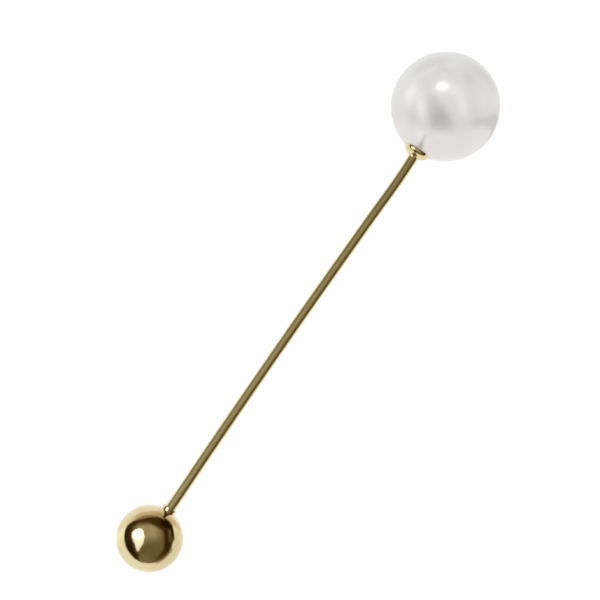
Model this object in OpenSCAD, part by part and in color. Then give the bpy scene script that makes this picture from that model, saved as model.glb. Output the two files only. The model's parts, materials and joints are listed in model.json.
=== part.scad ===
// Stick-pin brooch with a round pearl at one end and a ball clutch over its point.
// The brooch lies on the surface z = 0, on its pearl and on its ball, with the pin along X.
// Profiles are drawn beside the pin's own axis, which starts at the pearl's centre.

/* [Pearl] */
// Diameter of the pearl
pearl_d = 10; // [8:0.5:12]
// Depth of the blind hole drilled into the pearl for the peg
peg_hole_depth = 5; // [4:0.1:6]

/* [Pin] */
// Distance between the centres of the pearl and the ball
span = 47.5; // [40:0.5:60]
// Diameter of the wire
wire_d = 0.95; // [0.8:0.05:1]
// Diameter of the peg inside the pearl
peg_d = 0.8; // [0.6:0.05:0.8]
// Length of the ground point, which starts just outside the ball
point_len = 4.8; // [2:0.1:4.8]
// Diameter of the blunted tip
tip_d = 0.16; // [0.1:0.02:0.3]

/* [Cup] */
// Diameter across the cup's rim
cup_d = 2.4; // [2:0.1:2.6]
// Radius of the cup's rounded underside
cup_round_r = 1.5; // [1.4:0.05:1.8]
// How far the cup's underside reaches below the pearl
cup_drop = 0.58; // [0.5:0.02:0.7]
// Radius of the solder fillet between the cup and the wire
fillet_r = 0.25; // [0.1:0.05:0.4]

/* [Ball clutch] */
// Diameter of the ball
ball_d = 6; // [5:0.5:7]
// Depth of the blind hole in the ball
bore_depth = 4.9; // [4:0.1:4.9]
// Diameter of the hole's countersunk mouth
mouth_d = 1.2; // [1.2:0.05:1.4]

/* [Fits] */
// Clearance between the cup and the pearl, filled by glue
glue_gap = 0.03; // [0.02:0.01:0.08]
// Clearance around the peg in the pearl
peg_clearance = 0.05; // [0.03:0.01:0.08]
// Clearance around the wire in the ball
bore_clearance = 0.05; // [0.03:0.01:0.08]
// Clearance left at the bottom of both blind holes
end_clearance = 0.2; // [0.1:0.05:0.4]

/* [Hidden] */
$fn = 96;

// Cutting bodies reach this far past what they cut
past = 1;

pearl_r = pearl_d / 2;
ball_r = ball_d / 2;
wire_r = wire_d / 2;
peg_r = peg_d / 2;
bore_r = wire_r + bore_clearance;

// The pin leans on the floor, because the pearl is larger than the ball
lean = asin((pearl_r - ball_r) / span);
floor_span = span * cos(lean);
// The origin is under the middle of the overall length
pearl_x = (floor_span + ball_r - pearl_r) / 2;

// Distances along the pin's axis from the pearl's centre
peg_end = pearl_r - peg_hole_depth + end_clearance;
cup_floor = pearl_r + glue_gap;
cup_centre = pearl_r + cup_drop - cup_round_r;
mouth_at = span - ball_r;
tip_at = mouth_at + bore_depth - end_clearance;
point_at = tip_at - point_len;

// Puts a shape that is drawn up the Z axis onto the leaning axis of the pin.
module along_pin() {
    translate([pearl_x, 0, pearl_r])
        rotate([0, -90 - lean, 0])
            children();
}

// Round pearl with a blind hole on the cup's side.
module pearl() {
    color("ghostwhite")
        along_pin()
            difference() {
                sphere(r = pearl_r);
                translate([0, 0, pearl_r - peg_hole_depth])
                    cylinder(r = peg_r + peg_clearance, h = peg_hole_depth + past);
            }
}

// Half outline of the peg, the wire and its ground point.
module shank_profile() {
    polygon([
        [0, peg_end],
        [peg_r, peg_end],
        [peg_r, cup_floor],
        [wire_r, cup_floor],
        [wire_r, point_at],
        [tip_d / 2, tip_at],
        [0, tip_at]
    ]);
}

// Half outline of the cup, round underneath and hollowed to the pearl's own curve.
module cup_profile() {
    difference() {
        translate([0, cup_centre])
            intersection() {
                circle(r = cup_round_r);
                square([cup_d / 2, cup_round_r + past]);
            }
        circle(r = cup_floor);
    }
}

// Half outline of the solder, which runs from the cup to the wire in a hollow curve.
module fillet_profile() {
    out = wire_r + fillet_r;
    down = sqrt(pow(cup_round_r + fillet_r, 2) - pow(out, 2));
    touch = cup_round_r / (cup_round_r + fillet_r);
    translate([0, cup_centre])
        difference() {
            polygon([
                [0, down * touch - fillet_r],
                [out * touch, down * touch],
                [out, down],
                [0, down]
            ]);
            translate([out, down])
                circle(r = fillet_r);
        }
}

// Peg, cup, solder, wire and point in one soldered piece.
module pin() {
    color("goldenrod")
        along_pin()
            rotate_extrude() {
                shank_profile();
                cup_profile();
                fillet_profile();
            }
}

// Ball with a blind, countersunk hole that faces the pearl.
module ball_clutch() {
    countersink = mouth_d / 2 - bore_r;
    color("gold")
        along_pin()
            difference() {
                translate([0, 0, span])
                    sphere(r = ball_r);
                translate([0, 0, mouth_at - past])
                    cylinder(r = bore_r, h = bore_depth + past);
                translate([0, 0, mouth_at])
                    cylinder(r1 = mouth_d / 2, r2 = bore_r, h = countersink);
            }
}

pearl();
pin();
ball_clutch();
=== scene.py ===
"""Looks of the pearl brooch: a pearl bead, a gold pin with its cup, and a polished gold ball clutch."""

import json
import math

import bmesh
import bpy
from mathutils import Matrix, Vector


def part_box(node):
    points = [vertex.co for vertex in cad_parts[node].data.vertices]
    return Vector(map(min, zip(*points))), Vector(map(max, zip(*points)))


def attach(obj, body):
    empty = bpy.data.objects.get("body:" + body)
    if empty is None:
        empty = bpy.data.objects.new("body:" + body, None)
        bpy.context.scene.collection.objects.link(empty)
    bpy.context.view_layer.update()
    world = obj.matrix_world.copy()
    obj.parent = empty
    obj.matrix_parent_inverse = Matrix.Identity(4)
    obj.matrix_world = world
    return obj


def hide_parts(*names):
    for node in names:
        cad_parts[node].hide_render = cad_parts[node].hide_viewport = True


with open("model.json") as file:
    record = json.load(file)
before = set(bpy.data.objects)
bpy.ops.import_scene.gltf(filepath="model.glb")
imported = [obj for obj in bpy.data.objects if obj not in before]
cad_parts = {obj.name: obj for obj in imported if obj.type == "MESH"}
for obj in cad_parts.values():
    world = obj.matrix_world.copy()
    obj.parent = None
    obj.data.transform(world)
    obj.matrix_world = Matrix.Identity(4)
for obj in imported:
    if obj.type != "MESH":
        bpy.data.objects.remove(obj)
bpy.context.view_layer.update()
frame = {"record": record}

MM = 0.001
UP = Vector((0, 0, 1))

# Sizes that the part's source gives, in millimetres
PEARL_HOLE_R = 0.45
PEARL_HOLE_END = 0.0
PEG_R = 0.4
PEG_END = 0.2
GLUE_GAP = 0.03
CUP_R = 1.2
CUP_ROUND_R = 1.5
CUP_DROP = 0.58
FILLET_R = 0.25
POINT_LEN = 4.8
TIP_R = 0.08
BORE_R = 0.525
BORE_DEPTH = 4.9
BORE_END_ROOM = 0.2

# Finer sizes that only the scene has, in millimetres
RIM_R = 0.05
# Curve of the cup's underside: 2 is an ellipse, and more is boxier
BOWL_POWER = 2.15
# The pearl's skin is cut back this deep under the cup, and this far past its edge
SEAT_DEPTH = 0.1
SEAT_ROOM = 0.04
# Width and depth of the bevels at the mouth of the pearl's hole and at the peg's end
HOLE_BEVEL = (0.06, 0.05)
PEG_BEVEL = (0.05, 0.05)
# Collar around the ball's hole: radius of its rounding, and how far the rounding's middle stands proud
LIP_R = 0.05
LIP_RISE = 0.25

# Steps around the turned pieces, and along a ball's outline
BALL_SEGMENTS = 192
PIN_SEGMENTS = 96
BALL_STEPS = 110
# Edges sharper than this are shaded as edges, in degrees
SHARP_ANGLE = 38

# The photograph's view: camera and what it aims at in millimetres, the pin's rise in the picture in
# degrees, and the lens
CAMERA_AT = (-16.218, 1.478, 152.908)
CAMERA_AIM = (0.559, 0.972, 4.0)
PIN_RISE = 55.56
CAMERA_LENS = 99.14
SENSOR_WIDTH = 36
CAMERA_CLIP = (0.01, 5)

# Turns the picture's directions, in which the lights are given, into the row frame's
PICTURE_TURN = -55.6


def sphere_at(node, end):
    """Centre and radius of a round node, in metres; end is the side in X where no hole opens."""
    low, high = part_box(node)
    radius = (high.y - low.y) / 2
    x = high.x - radius if end > 0 else low.x + radius
    return Vector((x, 0, low.z + radius)), radius


PEARL_AT, PEARL_R = sphere_at("pearl", 1)
BALL_AT, BALL_R = sphere_at("ball_clutch", -1)
SPAN = (BALL_AT - PEARL_AT).length
ALONG = (BALL_AT - PEARL_AT).normalized()
ACROSS = UP.cross(-ALONG).normalized()
WIRE_R = frame["record"]["mounts"][0]["dims"]["r_mm"]


# Meshes. Outlines are lists of (radius, distance) in millimetres: how far a point is from the pin's
# line, and how far down that line it is from the pearl's centre.

def arc(centre, radius, start, end, count):
    """Points of an arc in count steps; its angles start at the pin's direction."""
    points = []
    for i in range(count + 1):
        angle = math.radians(start + (end - start) * i / count)
        points.append((centre[0] + radius * math.sin(angle), centre[1] + radius * math.cos(angle)))
    return points


def straight(start, end, count):
    """Evenly spaced points between two points of an outline, without the first."""
    return [
        (start[0] + (end[0] - start[0]) * i / count, start[1] + (end[1] - start[1]) * i / count)
        for i in range(1, count + 1)
    ]


def rise_to(across, radius):
    """Angle of an arc's point that lies this far from the line through the arc's centre, in degrees."""
    return math.degrees(math.asin(across / radius))


def place(radius, distance, turn, sway):
    """Row-frame place of an outline's point, turned about the pin's line."""
    side_step, slope = sway(distance)
    along = (ALONG + ACROSS * slope).normalized()
    out = along.cross(UP).normalized()
    rise = out.cross(along)
    centre = PEARL_AT + ALONG * (distance * MM) + ACROSS * (side_step * MM)
    return centre + (out * math.cos(turn) + rise * math.sin(turn)) * (radius * MM)


def lathe(name, outline, segments, sway, shift=None):
    """Closed piece turned from an outline that starts and ends on the pin's line."""
    if outline[0][1] < outline[-1][1]:
        # The faces look outwards when the outline's first end is the one further down the pin
        outline = outline[::-1]
    points, rings, faces = [], [], []
    for radius, distance in outline:
        count = segments if radius > 1e-6 else 1
        rings.append(range(len(points), len(points) + count))
        points += [place(radius, distance, 2 * math.pi * i / segments, sway) for i in range(count)]
    for a, b in zip(rings, rings[1:]):
        for i in range(segments):
            j = (i + 1) % segments
            corners = [a[i % len(a)], a[j % len(a)], b[j % len(b)], b[i % len(b)]]
            faces.append(list(dict.fromkeys(corners)))
    if shift:
        points = [shift(p) for p in points]
    mesh = bpy.data.meshes.new(name)
    mesh.from_pydata(points, [], faces)
    mesh.validate()
    mesh.polygons.foreach_set("use_smooth", [True] * len(mesh.polygons))
    mesh.set_sharp_from_angle(angle=math.radians(SHARP_ANGLE))
    piece = bpy.data.objects.new(name, mesh)
    bpy.context.scene.collection.objects.link(piece)
    return piece


# Sideways offsets of the wire in the photograph: (distance from the pearl's centre, offset), millimetres
SWAY = [
    (-6.0, 0.174), (0.0, 0.0), (5.0, -0.145), (6.2, -0.2), (8.0, -0.23), (13.2, -0.12),
    (17.0, -0.06), (21.5, 0.0), (26.0, 0.045), (33.0, 0.06), (39.0, 0.045), (42.5, 0.01),
    (44.5, 0.0), (60.0, 0.0),
]


def no_sway(distance):
    """Offset and slope of a straight line."""
    return 0.0, 0.0


def wire_sway(distance):
    """Offset and slope, at a distance from the pearl's centre, of the slightly bent wire."""
    k = max(i for i in range(len(SWAY) - 1) if SWAY[i][0] <= distance)
    (x0, y0), (x1, y1) = SWAY[k], SWAY[k + 1]
    chord = (y1 - y0) / (x1 - x0)
    before = (y0 - SWAY[k - 1][1]) / (x0 - SWAY[k - 1][0]) if k else chord
    after = (SWAY[k + 2][1] - y1) / (SWAY[k + 2][0] - x1) if k + 2 < len(SWAY) else chord
    m0, m1 = (chord + before) / 2, (chord + after) / 2
    h = x1 - x0
    t = (distance - x0) / h
    y = (
        y0 * (2 * t**3 - 3 * t**2 + 1) + m0 * h * (t**3 - 2 * t**2 + t)
        + y1 * (3 * t**2 - 2 * t**3) + m1 * h * (t**3 - t**2)
    )
    slope = (
        (y1 - y0) / h * (6 * t - 6 * t**2) + m0 * (3 * t**2 - 4 * t + 1) + m1 * (3 * t**2 - 2 * t)
    )
    return y, slope


def pearl_sway(distance):
    """Offset and slope of the pearl's hole, which leans with the cup."""
    slope = SWAY[2][1] / SWAY[2][0]
    return slope * distance, slope


# Waves of the pearl's skin: X, Y and Z frequency and phase; then its largest share of the round
# radius, and how much less one wave makes it
WAVES = [(2.3, 1.1, 0.0, 0.4), (0.0, 3.1, -1.7, 1.9), (2.1, 0.0, 4.3, 3.3)]
WAVE_TOP = 0.9995
WAVE_DEPTH = 0.0006


def uneven(point):
    """Draws a point of the pearl in by a hair, as no cultured pearl is quite round."""
    d = (point - PEARL_AT) / PEARL_R
    wave = sum(math.sin(x * d.x + y * d.y + z * d.z + phase) for x, y, z, phase in WAVES)
    return PEARL_AT + (point - PEARL_AT) * (WAVE_TOP - WAVE_DEPTH * (len(WAVES) - wave))


def make_pearl():
    """Bead, round but for its waviness, with the cup's seat and a hole to its middle for the peg."""
    r = PEARL_R / MM
    seat_r = r - SEAT_DEPTH
    seat_edge = CUP_R + SEAT_ROOM
    bevel, bevel_depth = HOLE_BEVEL
    outline = arc((0, 0), r, 180, rise_to(seat_edge, r), BALL_STEPS)
    outline += arc((0, 0), seat_r, rise_to(seat_edge, seat_r), rise_to(PEARL_HOLE_R + bevel, seat_r), 8)
    outline += straight(outline[-1], (PEARL_HOLE_R, outline[-1][1] - bevel_depth), 2)
    outline += straight(outline[-1], (PEARL_HOLE_R, PEARL_HOLE_END), 6)
    outline += [(0, PEARL_HOLE_END)]
    return lathe("pearl_bead", outline, BALL_SEGMENTS, pearl_sway, uneven)


def cup_outline():
    """From the peg up the cup's hollow, round its rim and down its underside to the wire."""
    r = PEARL_R / MM
    hollow_r = r - SEAT_DEPTH + GLUE_GAP
    centre = r + CUP_DROP - CUP_ROUND_R
    rim_x = CUP_R - RIM_R
    hollow_end = rise_to(rim_x, hollow_r + RIM_R)
    outline = arc((0, 0), hollow_r, rise_to(PEG_R, hollow_r), hollow_end, 14)
    rim = (rim_x, (hollow_r + RIM_R) * math.cos(math.radians(hollow_end)))
    outline += arc(rim, RIM_R, 180 + hollow_end, 90, 12)[1:]
    foot, reach = WIRE_R + FILLET_R, CUP_ROUND_R + FILLET_R
    down = math.sqrt(reach**2 - foot**2)
    solder = arc((foot, centre + down), FILLET_R, 180 + rise_to(foot, reach), 270, 10)
    return outline + bowl((CUP_R, rim[1]), solder[0], BOWL_POWER, 24) + solder[1:]


def bowl(rim, end, power, count):
    """Points from the rim of a bowl to a place on its underside, steep first and flat at last."""
    share = end[0] / rim[0]
    depth = (end[1] - rim[1]) / (1 - share**power) ** (1 / power)
    points = []
    for i in range(1, count + 1):
        x = math.cos(math.acos(share) * i / count)
        points.append((rim[0] * x, rim[1] + depth * (1 - x**power) ** (1 / power)))
    return points


def make_pin():
    """Peg, cup, fillet, wire and ground point, turned about the wire's slightly bent line."""
    mouth = (SPAN - BALL_R) / MM
    tip = mouth + BORE_DEPTH - BORE_END_ROOM
    point = tip - POINT_LEN
    bevel, bevel_depth = PEG_BEVEL
    outline = [(0, PEG_END), (PEG_R - bevel, PEG_END), (PEG_R, PEG_END + bevel_depth)]
    outline += straight(outline[-1], (PEG_R, PEARL_R / MM - SEAT_DEPTH), 8)
    outline += cup_outline()
    outline += straight(outline[-1], (WIRE_R, point), 120)
    outline += straight(outline[-1], (TIP_R, tip - TIP_R), 24)
    outline += arc((0, tip - TIP_R), TIP_R, 90, 0, 5)[1:]
    outline[-1] = (0, tip)
    return lathe("gold_pin", outline, PIN_SEGMENTS, wire_sway)


def make_ball():
    """Ball with its blind hole, the hole's edge raised into a small rounded collar."""
    r, centre = BALL_R / MM, SPAN / MM
    mouth = centre - r
    outline = arc((0, centre), r, 0, 180 - rise_to(BORE_R + 2 * LIP_R, r), BALL_STEPS)
    outline += arc((BORE_R + LIP_R, mouth - LIP_RISE), LIP_R, 90, 270, 16)
    outline += straight(outline[-1], (BORE_R, mouth + BORE_DEPTH), 8)
    outline += [(0, mouth + BORE_DEPTH)]
    outline[0] = (0, centre + r)
    return lathe("gold_ball", outline, BALL_SEGMENTS, no_sway)


# Node helpers. Sockets are given by name, or by number where a node has several of one name.

def add(tree, kind, inputs=(), **settings):
    """New shader node with its settings; each input is a value or another node's socket."""
    made = tree.nodes.new("ShaderNode" + kind)
    for key, value in settings.items():
        setattr(made, key, value)
    for key, value in dict(inputs).items():
        feed(tree, value, made.inputs[key])
    return made


def feed(tree, value, socket):
    """Sets an input to a value, or wires another node's socket to it."""
    if isinstance(value, bpy.types.NodeSocket):
        tree.links.new(value, socket)
    else:
        socket.default_value = value


def math_of(tree, operation, a, b=0.0):
    """Result of one Math node."""
    return add(tree, "Math", {0: a, 1: b}, operation=operation).outputs[0]


def ramp(tree, value, low, high, out_low, out_high):
    """A value eased from one range into another."""
    keys = {"Value": value, "From Min": low, "From Max": high, "To Min": out_low, "To Max": out_high}
    return add(tree, "MapRange", keys, interpolation_type="SMOOTHSTEP").outputs[0]


def blend(tree, factor, a, b):
    """Colour between two colours."""
    return add(tree, "Mix", {0: factor, 6: a, 7: b}, data_type="RGBA").outputs[2]


def vector_of(tree, operation, a, b):
    """Vector result of one Vector Math node; b is a vector, or the factor of SCALE."""
    key = "Scale" if operation == "SCALE" else 1
    return add(tree, "VectorMath", {0: a, key: b}, operation=operation).outputs[0]


def length_of(tree, vector):
    """Length of a vector."""
    return add(tree, "VectorMath", {0: vector}, operation="LENGTH").outputs["Value"]


def turned(tree, vector, degrees):
    """Vector turned about Z."""
    keys = {"Vector": vector, "Angle": math.radians(degrees)}
    return add(tree, "VectorRotate", keys, rotation_type="Z_AXIS").outputs[0]


def own_coordinates(tree):
    """Coordinates of the object that the material is on, in metres."""
    return add(tree, "TexCoord").outputs["Object"]


def rgba(colour):
    """Colour with full opacity."""
    return (*colour, 1.0)


# Directions. The plan lays them flat: the zenith is 0, the horizon is the circle of radius 1, and X
# and Y run as in the picture.

def direction(azimuth, elevation):
    """Row-frame direction from angles in the picture: azimuth 0 is its right and 90 its top."""
    a, e = math.radians(azimuth + PICTURE_TURN), math.radians(elevation)
    return Vector((math.cos(e) * math.cos(a), math.cos(e) * math.sin(a), math.sin(e)))


def plan_direction(x, y):
    """Row-frame direction of a point of the plan."""
    r = math.hypot(x, y)
    return direction(math.degrees(math.atan2(y, x)), 90 - 2 * math.degrees(math.atan(r)))


def plan_of(tree, look):
    """Where a direction is in the plan; the lowest ones stay finite."""
    look = add(tree, "VectorMath", {0: look}, operation="NORMALIZE").outputs[0]
    height = add(tree, "SeparateXYZ", {0: look}).outputs[2]
    share = math_of(tree, "DIVIDE", 1.0, math_of(tree, "MAXIMUM", math_of(tree, "ADD", height, 1.0), 0.05))
    return turned(tree, vector_of(tree, "SCALE", look, share), -PICTURE_TURN)


def side(tree, plan, angle, offset, soft):
    """1 where the plan point lies beyond a straight line, whose outward normal has this angle."""
    a = math.radians(angle)
    keys = {0: plan, 1: (math.cos(a), math.sin(a), 0)}
    reach = add(tree, "VectorMath", keys, operation="DOT_PRODUCT").outputs["Value"]
    return ramp(tree, reach, offset - soft, offset + soft, 0.0, 1.0)


def patch(tree, plan, sides):
    """1 inside a straight-sided patch with soft edges, given as (angle, offset, softness) of its sides."""
    value = None
    for angle, offset, soft in sides:
        inside = math_of(tree, "SUBTRACT", 1.0, side(tree, plan, angle, offset, soft))
        value = inside if value is None else math_of(tree, "MULTIPLY", value, inside)
    return value


def painted(tree, plan, colour, patches):
    """Colour with patches painted over it, each over those before."""
    for paint, sides in patches:
        colour = blend(tree, patch(tree, plan, sides), colour, rgba(paint))
    return colour


def below_horizon(tree, plan):
    """1 below the horizon."""
    return math_of(tree, "GREATER_THAN", length_of(tree, plan), 1.0)


def oval(tree, plan, centre, size, angle, core):
    """1 in the middle of an oval of the plan, easing to 0 at its edge; core is the even share."""
    away = turned(tree, vector_of(tree, "SUBTRACT", plan, (*centre, 0)), -angle)
    away = vector_of(tree, "MULTIPLY", away, (1 / size[0], 1 / size[1], 0))
    return ramp(tree, length_of(tree, away), core, 1.0, 1.0, 0.0)


# Room that the gold mirrors
ROOM_MID = (0.175, 0.142, 0.075)
ROOM_PALE = (0.22, 0.182, 0.108)
ROOM_DIM = (0.075, 0.05, 0.009)
ROOM_BROWN = (0.065, 0.04, 0.007)
ROOM_DARK = (0.042, 0.026, 0.004)
ROOM_DARKEST = (0.018, 0.007, 0.002)
ROOM_STREAK = (0.15, 0.11, 0.068)
# Also the black of the painted shadow in what the ball mirrors of the floor
ROOM_AND_SHADOW_BLACK = (0.024, 0.013, 0.001)
ROOM_TOP = (0.33, 0.28, 0.19)
BACKDROP = (1.0, 1.0, 1.0)

# Patches of the room, painted one over the other: colour, and sides as (angle, offset, softness)
ROOM_PATCHES = [
    (ROOM_PALE, [(0, 0.05, 0.15), (90, -0.5, 0.12), (180, 0.45, 0.1)]),
    (ROOM_DIM, [(135, -0.6, 0.12), (180, -0.28, 0.15)]),
    (ROOM_BROWN, [(-90, -0.56, 0.09), (0, 0.5, 0.1)]),
    (ROOM_BROWN, [(-120, -0.46, 0.07), (180, -0.02, 0.12)]),
    (ROOM_TOP, [(-77, -0.83, 0.07), (0, 0.6, 0.08)]),
    (ROOM_DARK, [(10, -0.54, 0.06)]),
    (ROOM_DARK, [(0, -0.48, 0.1), (-90, -0.48, 0.08), (90, 0.72, 0.1)]),
    (ROOM_DARK, [(0, -0.37, 0.06), (90, -0.45, 0.06), (-125, 0.82, 0.08)]),
    (ROOM_AND_SHADOW_BLACK, [(10, -0.6, 0.08), (90, -0.15, 0.15)]),
    (ROOM_AND_SHADOW_BLACK, [(0, -0.88, 0.07)]),
    (ROOM_DARK, [(180, -0.5, 0.03)]),
    (ROOM_AND_SHADOW_BLACK, [(180, -0.88, 0.04), (-90, 0.05, 0.1)]),
    (ROOM_STREAK, [(180, -0.71, 0.03), (0, 0.87, 0.04), (90, 0.34, 0.05), (-90, 0.12, 0.08)]),
    (ROOM_DARKEST, [(-90, -0.43, 0.04), (180, -0.4, 0.1), (90, 0.85, 0.12)]),
    (ROOM_MID, [(125, -0.87, 0.08)]),
    (ROOM_MID, [(160, -0.9, 0.05)]),
    (ROOM_TOP, [(40, -0.95, 0.04)]),
]


def make_room():
    """World of dim warm walls and ceiling for the reflections; the camera sees a plain pale backdrop."""
    world = bpy.data.worlds.new("room")
    bpy.context.scene.world = world
    world.use_nodes = True
    tree = world.node_tree
    tree.nodes.clear()
    plan = plan_of(tree, add(tree, "TexCoord").outputs["Generated"])
    colour = painted(tree, plan, rgba(ROOM_MID), ROOM_PATCHES)
    colour = blend(tree, below_horizon(tree, plan), colour, rgba((0, 0, 0)))
    seen = add(tree, "LightPath").outputs["Is Camera Ray"]
    colour = blend(tree, seen, colour, rgba(BACKDROP))
    made = add(tree, "Background", {"Color": colour, "Strength": 1.0})
    tree.links.new(made.outputs[0], add(tree, "OutputWorld").inputs["Surface"])


# Staging. A glowing card or lamp that lights one piece alone stands in for what that piece mirrors.

def plain_object(name, points, faces, at=(0, 0, 0)):
    """Staging mesh."""
    mesh = bpy.data.meshes.new(name)
    mesh.from_pydata(points, [], faces)
    piece = bpy.data.objects.new(name, mesh)
    piece.location = at
    bpy.context.scene.collection.objects.link(piece)
    return piece


def light_only(light, piece):
    """Keeps a lamp or a glowing card from lighting anything but one piece."""
    group = bpy.data.collections.new(light.name + "_lit")
    group.objects.link(piece)
    light.light_linking.receiver_collection = group


def hide_card(card, piece):
    """Lets a glowing card light one piece alone, unseen by the camera and throwing no shadow."""
    light_only(card, piece)
    card.visible_camera = False
    card.visible_shadow = False


def make_lamp(name, at, facing, size, radiance, piece):
    """Round lamp of an even radiance that lights one piece alone."""
    lamp = bpy.data.lights.new(name, "AREA")
    lamp.shape = "DISK"
    lamp.size = size
    lamp.energy = radiance * math.pi * math.pi * (size / 2) ** 2
    spot = bpy.data.objects.new(name, lamp)
    spot.location = at
    spot.rotation_euler = facing.to_track_quat("Z", "Y").to_euler()
    spot.visible_camera = False
    bpy.context.scene.collection.objects.link(spot)
    light_only(spot, piece)


def empty_material(name):
    """Material without nodes, and its tree."""
    material = bpy.data.materials.new(name)
    material.use_nodes = True
    material.node_tree.nodes.clear()
    return material, material.node_tree


def show(tree, *shaders):
    """Ends a material's tree with one shader or the sum of two."""
    if len(shaders) == 2:
        shaders = [add(tree, "AddShader", dict(enumerate(shaders))).outputs[0]]
    tree.links.new(shaders[0], add(tree, "OutputMaterial").inputs["Surface"])


def clear_glow(name):
    """See-through material that gives off light, its tree and its light."""
    material, tree = empty_material(name)
    light = add(tree, "Emission")
    show(tree, light.outputs[0], add(tree, "BsdfTransparent").outputs[0])
    return material, tree, light


# Paper that the brooch lies on, its lamps, and its picture in the gold
FLOOR_R = 0.6
FLOOR_SIDES = 96
FLOOR_SHADE = 0.5
# Its own glow near the brooch and far from it, and where that changes, in metres
FLOOR_GLOW = (0.5, 1.05)
FLOOR_FADE = (0.05, 0.16)
# The lamp over the floor stands where the camera does in the photograph, so no shadow shows there
FLOOR_LIGHT_SIZE = 0.03
FLOOR_LIGHT_GLOW = 31.0
# A broad lamp overhead softens the shadow: height, size and radiance
SOFT_LIGHT = (0.3, 0.8, 1.6)
# What the ball mirrors of the floor, painted light and shade on a glowing sheet: colour, and sides as
# (angle, offset, softness) in the plan. Brighter near the ball on the left, greyer in places, and black
# where a painted shadow of the pearl and wire falls and far off to the left
BALL_FLOOR = [
    ((0.64, 0.57, 0.47), [(-77, -0.84, 0.08), (103, 1.4, 0.25), (180, 0.8, 0.35), (0, 0.75, 0.1)]),
    ((0.68, 0.58, 0.45), [(-90, -0.66, 0.2), (180, -0.7, 0.1), (50, 2.0, 0.6)]),
    ((0.4, 0.35, 0.25), [(180, -0.3, 0.3), (-90, -0.78, 0.1), (103, 1.05, 0.2), (0, 0.75, 0.1)]),
    ((0.91, 0.95, 0.96), [(180, -0.5, 0.2), (90, 0.3, 0.2)]),
    ((1.16, 1.22, 1.22), [(0, -1.25, 0.12), (90, 0.5, 0.3), (-90, 0.5, 0.3)]),
    ((0.5, 0.45, 0.35), [(-50, 1.13, 0.08), (65, 0.0, 0.1), (-165, 0.0, 0.1)]),
    (ROOM_AND_SHADOW_BLACK, [
        (150, 1.2, 0.07), (180, 1.115, 0.05), (200, 1.04, 0.06), (230, 0.97, 0.06), (0, -0.3, 0.1),
        (103, 0.87, 0.1),
    ]),
    # Painted shadow of the pearl and wire on the floor, as the ball mirrors it
    (ROOM_AND_SHADOW_BLACK, [(0, 1.12, 0.06), (50, 1.25, 0.08), (180, -0.62, 0.08), (-90, 0.11, 0.1)]),
]
FLOOR_TINT = (0.98, 1.03, 1.05)
# The pin's sheet lies this much lower than the ball's, so that the two don't coincide
PIN_FLOOR_DEPTH = 0.00005
# The ball mirrors the floor d millimetres off at the plan's radius 1 + 5/d + 26/d^2, by measure
FLOOR_BEND = (5.0, 26.0)


def disc(name, depth=0.0):
    """Round sheet on the plane that the brooch lies on, or a little below it."""
    turns = [2 * math.pi * i / FLOOR_SIDES for i in range(FLOOR_SIDES)]
    ring = [(FLOOR_R * math.cos(t), FLOOR_R * math.sin(t), 0) for t in turns]
    return plain_object(name, ring, [tuple(range(FLOOR_SIDES))], (0, 0, -depth))


def make_floor():
    """Pale paper that the camera sees, with a soft shadow under the brooch from lamps above."""
    floor = disc("floor")
    material, tree = empty_material("floor_paper")
    glow = ramp(tree, length_of(tree, own_coordinates(tree)), *FLOOR_FADE, *FLOOR_GLOW)
    paper = add(tree, "BsdfDiffuse", {"Color": rgba([FLOOR_SHADE] * 3)})
    show(tree, add(tree, "Emission", {"Strength": glow}).outputs[0], paper.outputs[0])
    floor.data.materials.append(material)
    floor.visible_glossy = floor.visible_diffuse = False
    at = Vector(CAMERA_AT) * MM
    make_lamp("floor_light", at, at.normalized(), FLOOR_LIGHT_SIZE, FLOOR_LIGHT_GLOW, floor)
    height, size, radiance = SOFT_LIGHT
    make_lamp("soft_light", UP * height, UP, size, radiance, floor)


def make_mirrored_floor(piece, patches, depth=0.0):
    """The paper as one gold piece mirrors it: a glowing sheet, with painted light and shade where patches
    are given.
    """
    mirrored = disc("floor_of_" + piece.name, depth)
    material, tree, light = clear_glow(mirrored.name)
    plan = floor_plan(tree, own_coordinates(tree))
    feed(tree, painted(tree, plan, rgba(FLOOR_TINT), patches), light.inputs["Color"])
    mirrored.data.materials.append(material)
    hide_card(mirrored, piece)


def floor_plan(tree, where):
    """Where in the plan the ball mirrors a point of the floor; further off is nearer the horizon."""
    away = turned(tree, vector_of(tree, "SUBTRACT", where, BALL_AT), -PICTURE_TURN)
    away = vector_of(tree, "MULTIPLY", away, (1 / MM, 1 / MM, 0))
    share = math_of(tree, "DIVIDE", 1.0, math_of(tree, "MAXIMUM", length_of(tree, away), 1.0))
    near, nearest = FLOOR_BEND
    radius = math_of(tree, "ADD", math_of(tree, "MULTIPLY", share, nearest), near)
    radius = math_of(tree, "ADD", math_of(tree, "MULTIPLY", share, radius), 1.0)
    return vector_of(tree, "SCALE", away, math_of(tree, "MULTIPLY", share, radius))


# Level cards overhead, each seen by one piece alone: height above their point, corners in the plan
WINDOW_HEIGHT = 0.14
WINDOW = [
    (-0.61, 0.23), (-0.47, 0.32), (-0.3, 0.35), (-0.19, 0.28), (-0.135, 0.08), (-0.18, -0.13),
    (-0.375, -0.42), (-0.47, -0.14), (-0.6, 0.07),
]
WINDOW_COLOUR = (0.87, 1.0, 1.3)
WINDOW_GLOW = 1.15
# The window's brighter middle: centre, size, angle and even share of the oval, and what it adds
WINDOW_MIDDLE = ((-0.37, 0.19), (0.28, 0.26), 10, 0.2)
WINDOW_MIDDLE_GLOW = 1.0

# Pale ceiling over the ball: what it adds, and the sides of its soft patch
CEILING_HEIGHT = 0.15
CEILING = [(-0.6, -0.25), (0.65, -0.25), (0.65, 0.6), (-0.6, 0.6)]
CEILING_GLOW = (0.245, 0.243, 0.225)
CEILING_SIDES = [(90, 0.47, 0.08), (-90, 0.0, 0.2), (0, 0.3, 0.2), (180, 0.4, 0.15), (60, 0.45, 0.08)]

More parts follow.
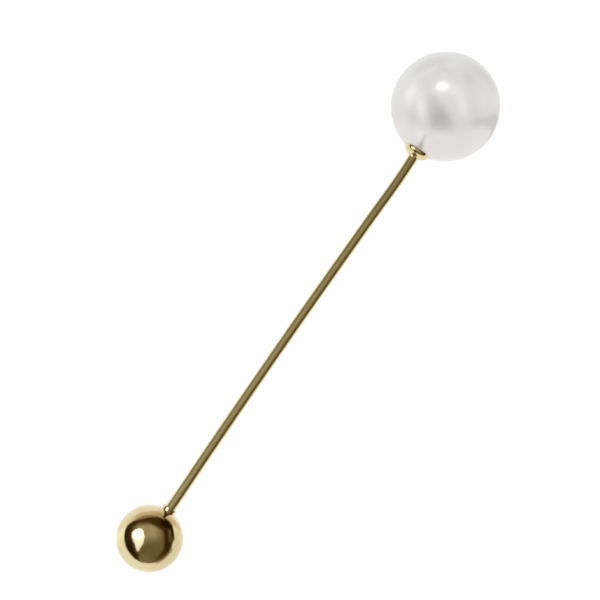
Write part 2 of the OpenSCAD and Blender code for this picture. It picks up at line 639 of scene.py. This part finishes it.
# Pale ceiling over the wire, the same way
WIRE_CEILING_HEIGHT = 0.145
WIRE_CEILING = [(0.558, 0.012), (-0.466, 0.729), (-0.844, 0.189), (0.18, -0.528)]
WIRE_CEILING_GLOW = (0.22, 0.24, 0.23)
WIRE_CEILING_SIDES = [(-35, 0.2, 0.25), (145, 0.62, 0.5), (55, 0.135, 0.2)]

# Softbox that glints on the cup and its neck: azimuth, elevation, distance, size and radiance
GLINT = (-173, 30, 0.3, 0.21, 2.6)


def sky_card(name, corners, at, height, piece):
    """Level glowing card above a point; returns its tree, its light and its plan."""
    points = [plan_direction(x, y) for x, y in corners]
    points = [p * (height / p.z) for p in points]
    card = plain_object(name, points, [tuple(range(len(points)))], at)
    material, tree, light = clear_glow(name)
    card.data.materials.append(material)
    hide_card(card, piece)
    return tree, light, plan_of(tree, own_coordinates(tree))


def make_window(ball):
    """Bright window for the ball's highlight, high on the picture's left."""
    tree, light, plan = sky_card("window_card", WINDOW, BALL_AT, WINDOW_HEIGHT, ball)
    feed(tree, rgba(WINDOW_COLOUR), light.inputs["Color"])
    middle = math_of(tree, "MULTIPLY", oval(tree, plan, *WINDOW_MIDDLE), WINDOW_MIDDLE_GLOW)
    feed(tree, math_of(tree, "ADD", middle, WINDOW_GLOW), light.inputs["Strength"])


def make_ceiling(name, corners, at, height, piece, colour, sides):
    """Paler part of the ceiling, which adds to what a piece mirrors of the room."""
    tree, light, plan = sky_card(name, corners, at, height, piece)
    feed(tree, rgba(colour), light.inputs["Color"])
    feed(tree, patch(tree, plan, sides), light.inputs["Strength"])


def make_glint(pin):
    """Softbox for the glints on the cup and its neck."""
    azimuth, elevation, distance, size, radiance = GLINT
    facing = direction(azimuth, elevation)
    cup_at = PEARL_AT + ALONG * (PEARL_R + CUP_DROP * MM)
    make_lamp("glint", cup_at + facing * distance, facing, size, radiance, pin)


# Tent of soft light around the pearl
TENT_R = 0.25
TENT_ROUNDNESS = 3
# Brightness overhead and lower down, and the plan's radii between which it and the colour change
TENT_GLOW = (0.8, 1.05)
TENT_FADE = (0.5, 1.3)
# Colour overhead, and lower down towards the picture's bottom and towards its top
TENT_COLOUR = (0.985, 1.0, 0.995)
TENT_COLOUR_BELOW = (1.02, 0.975, 0.945)
TENT_COLOUR_TOP = (0.99, 1.0, 0.955)
# Half the width, in the plan, of the change between those two
TENT_COLOUR_FADE = 0.8
# Changes of the tent's brightness: straight-sided patches, with sides as (angle, offset, softness)
TENT_PATCHES = [
    (-0.42, [(180, 0.41, 0.05), (90, 0.1, 0.08), (35, -0.16, 0.08), (0, 0.14, 0.08), (-90, 0.65, 0.08)]),
    (-0.45, [(107, -0.51, 0.08), (-93, 0.43, 0.06), (180, -0.55, 0.15)]),
    (0.12, [(90, -0.53, 0.1)]),
]
# Soft ovals of the tent: change, and centre in the plan, size, angle and even share
TENT_SPOTS = [
    (-0.35, ((-0.17, -0.33), (0.26, 0.34), 0, 0.3)),
    (-0.3, ((-0.4, 1.3), (0.9, 0.6), 0, 0.2)),
    (2.0, ((-0.13, 0.28), (0.17, 0.14), 0, 0.2)),
    (0.4, ((0.06, 0.2), (0.16, 0.16), 0, 0.2)),
    (0.32, ((0.23, -0.06), (0.14, 0.42), 15, 0.2)),
    (0.6, ((-0.6, -0.08), (0.15, 0.42), 0, 0.3)),
    (0.55, ((-0.93, 0.34), (0.42, 0.42), 0, 0.3)),
    (-0.25, ((-1.0, -0.33), (0.45, 0.18), 0, 0.2)),
    (-0.25, ((-0.08, 0.87), (0.2, 0.35), 0, 0.2)),
    (-0.25, ((0.42, 0.52), (0.15, 0.32), -15, 0.2)),
    (-0.35, ((1.1, 1.0), (0.9, 0.6), 0, 0.2)),
    (0.12, ((0.75, 0.1), (0.3, 0.35), 0, 0.2)),
    (0.35, ((-0.72, -1.05), (0.4, 0.4), 0, 0.3)),
]


def make_tent(pearl):
    """Soft light all round the pearl alone, with the soft spots that its skin mirrors."""
    bm = bmesh.new()
    bmesh.ops.create_icosphere(bm, subdivisions=TENT_ROUNDNESS, radius=TENT_R)
    mesh = bpy.data.meshes.new("tent")
    bm.to_mesh(mesh)
    bm.free()
    tent = bpy.data.objects.new("tent", mesh)
    tent.location = PEARL_AT
    bpy.context.scene.collection.objects.link(tent)
    material, tree, light = clear_glow("tent_glow")
    plan = plan_of(tree, own_coordinates(tree))
    reach = length_of(tree, plan)
    rising = side(tree, plan, 90, 0.0, TENT_COLOUR_FADE)
    lower = blend(tree, rising, rgba(TENT_COLOUR_BELOW), rgba(TENT_COLOUR_TOP))
    tint = blend(tree, ramp(tree, reach, *TENT_FADE, 0.0, 1.0), rgba(TENT_COLOUR), lower)
    feed(tree, tint, light.inputs["Color"])
    changes = [(change, patch(tree, plan, sides)) for change, sides in TENT_PATCHES]
    changes += [(change, oval(tree, plan, *spot)) for change, spot in TENT_SPOTS]
    strength = ramp(tree, reach, *TENT_FADE, *TENT_GLOW)
    for change, where in changes:
        strength = math_of(tree, "ADD", strength, math_of(tree, "MULTIPLY", where, change))
    feed(tree, math_of(tree, "MAXIMUM", strength, 0.0), light.inputs["Strength"])
    tent.data.materials.append(material)
    hide_card(tent, pearl)


# Materials

def new_material(name):
    """Material with its tree and its shader."""
    material, tree = empty_material(name)
    shader = add(tree, "BsdfPrincipled")
    show(tree, shader.outputs[0])
    return material, tree, shader


def noise(tree, where, scale, detail):
    """Noise of about a feature per 1/scale metres."""
    return add(tree, "TexNoise", {"Vector": where, "Scale": scale, "Detail": detail}).outputs["Fac"]


def add_bump(tree, shader, height, strength, depth_mm):
    """Fine relief of the surface."""
    keys = {"Strength": strength, "Distance": depth_mm * MM, "Height": height}
    feed(tree, add(tree, "Bump", keys).outputs[0], shader.inputs["Normal"])


# Gold plate: its two tones, their noise and where one eases into the other; then the same for wear
GOLD = (0.80, 0.655, 0.385)
GOLD_DEEP = (0.74, 0.58, 0.31)
GOLD_TONE_NOISE = (900, 3)
GOLD_TONE_RANGE = (0.35, 0.75)
GOLD_WEAR_NOISE = (5200, 4)
GOLD_WEAR_RANGE = (0.3, 0.8)
GOLD_BUMP = 0.4


def gold(name, stretch, rough, bump_mm):
    """Gold plate on brass: slightly uneven colour and polish, with fine wear."""
    material, tree, shader = new_material(name)
    where = add(tree, "Mapping", {"Vector": own_coordinates(tree), "Scale": stretch}).outputs[0]
    tone = ramp(tree, noise(tree, where, *GOLD_TONE_NOISE), *GOLD_TONE_RANGE, 0.0, 1.0)
    feed(tree, blend(tree, tone, rgba(GOLD), rgba(GOLD_DEEP)), shader.inputs["Base Color"])
    shader.inputs["Metallic"].default_value = 1.0
    wear = noise(tree, where, *GOLD_WEAR_NOISE)
    feed(tree, ramp(tree, wear, *GOLD_WEAR_RANGE, *rough), shader.inputs["Roughness"])
    add_bump(tree, shader, wear, GOLD_BUMP, bump_mm)
    return material


# Pearl skin: its two tones, the cloudy noise between them, and the fine grain
NACRE = (0.66, 0.652, 0.68)
NACRE_COOL = (0.64, 0.645, 0.68)
NACRE_CLOUD_NOISE = (320, 3)
NACRE_CLOUD_RANGE = (0.3, 0.7)
NACRE_GRAIN_NOISE = (2600, 3)
NACRE_ROUGH = (0.19, 0.22)
NACRE_IOR = 2.2
NACRE_BUMP = (0.3, 0.004)
# Around the drilled hole the skin is duller: how far from the hole, in metres, and how much rougher
DULL_REACH = (0.001, 0.0036)
DULL_ROUGH = (0.045, 0.0)


def nacre():
    """Pearl skin: off-white with faint cloudy tints, a blurred lustre and a fine uneven surface."""
    material, tree, shader = new_material("pearl_nacre")
    where = own_coordinates(tree)
    cloud = ramp(tree, noise(tree, where, *NACRE_CLOUD_NOISE), *NACRE_CLOUD_RANGE, 0.0, 1.0)
    feed(tree, blend(tree, cloud, rgba(NACRE), rgba(NACRE_COOL)), shader.inputs["Base Color"])
    shader.inputs["IOR"].default_value = NACRE_IOR
    shader.inputs["Specular IOR Level"].default_value = 1.0
    hole = PEARL_AT + ALONG * PEARL_R
    away = add(tree, "VectorMath", {0: where, 1: hole}, operation="DISTANCE").outputs["Value"]
    dull = ramp(tree, away, *DULL_REACH, *DULL_ROUGH)
    rough = math_of(tree, "ADD", ramp(tree, cloud, 0.0, 1.0, *NACRE_ROUGH), dull)
    feed(tree, rough, shader.inputs["Roughness"])
    add_bump(tree, shader, noise(tree, where, *NACRE_GRAIN_NOISE), *NACRE_BUMP)
    return material


def make_camera():
    """The photograph's view: nearly from straight above, with the pin rising to the upper right."""
    at, aim = Vector(CAMERA_AT) * MM, Vector(CAMERA_AIM) * MM
    back = (at - aim).normalized()
    along = Vector((1, 0, 0))
    along = (along - back * along.dot(back)).normalized()
    across = back.cross(along)
    a = math.radians(PIN_RISE)
    right = along * math.cos(a) - across * math.sin(a)
    up = along * math.sin(a) + across * math.cos(a)
    data = bpy.data.cameras.new("camera")
    data.lens = CAMERA_LENS
    data.sensor_width = SENSOR_WIDTH
    data.clip_start, data.clip_end = CAMERA_CLIP
    camera = bpy.data.objects.new("camera", data)
    camera.matrix_world = Matrix.Translation(at) @ Matrix((right, up, back)).transposed().to_4x4()
    bpy.context.scene.collection.objects.link(camera)
    bpy.context.scene.camera = camera


def dress(piece, material, body, node):
    """Gives a piece its material, and says what it rides on and what it replaces."""
    piece.data.materials.append(material)
    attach(piece, body)
    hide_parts(node)


make_camera()
pearl = make_pearl()
pin = make_pin()
ball = make_ball()
drawn = gold("gold_drawn", stretch=(0.12, 1, 1), rough=(0.12, 0.2), bump_mm=0.004)
polished = gold("gold_polished", stretch=(1, 1, 1), rough=(0.1, 0.14), bump_mm=0.002)
dress(pearl, nacre(), "pin", "pearl")
dress(pin, drawn, "pin", "pin")
dress(ball, polished, "clutch", "ball_clutch")
make_floor()
make_mirrored_floor(ball, BALL_FLOOR)
make_mirrored_floor(pin, [], PIN_FLOOR_DEPTH)
make_room()
make_window(ball)
make_ceiling("ceiling_card", CEILING, BALL_AT, CEILING_HEIGHT, ball, CEILING_GLOW, CEILING_SIDES)
make_ceiling(
    "wire_ceiling_card", WIRE_CEILING, (0, 0, BALL_AT.z), WIRE_CEILING_HEIGHT, pin,
    WIRE_CEILING_GLOW, WIRE_CEILING_SIDES,
)
make_glint(pin)
make_tent(pearl)
# The photograph shows no mirror image of the pearl in the gold
pearl.visible_glossy = False
bpy.context.scene.view_settings.view_transform = "Standard"
bpy.context.scene.cycles.use_denoising = True
